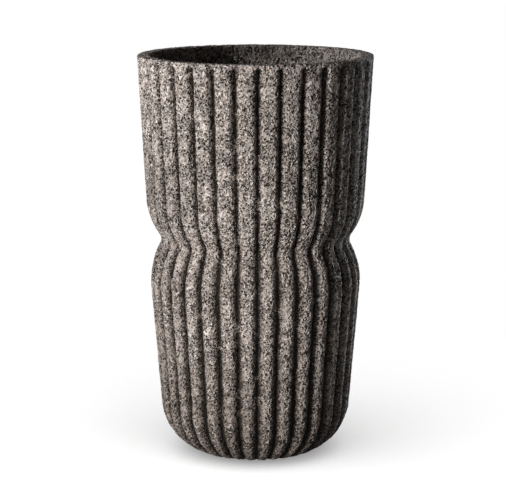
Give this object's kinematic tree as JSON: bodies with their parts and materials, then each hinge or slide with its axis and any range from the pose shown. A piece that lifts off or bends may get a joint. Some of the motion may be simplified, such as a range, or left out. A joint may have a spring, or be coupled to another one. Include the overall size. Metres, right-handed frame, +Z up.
{
  "type": "urn vase",
  "caption": "Free-standing urn vase: rough mineral casting with vertical flutes, pinched at a waist, with a plain lip, lined with a cup, on rubber pads.",
  "frame": {"origin": "on the vase's axis, on the plane that the pads stand on", "axes": "+Z up along the vase's axis; -Y is the side that faces the camera in the picture"},
  "size_m": [0.175, 0.175, 0.3],
  "materials": {
    "cast_mineral": "matte",
    "cup_plastic": "satin",
    "pad_rubber": "matte"
  },
  "bodies": {
    "root": {"fluted_body": "cast_mineral", "waterproof_cup": "cup_plastic", "rubber_pad_1": "pad_rubber", "rubber_pad_2": "pad_rubber", "rubber_pad_3": "pad_rubber", "rubber_pad_4": "pad_rubber"}
  },
  "joints": []
}
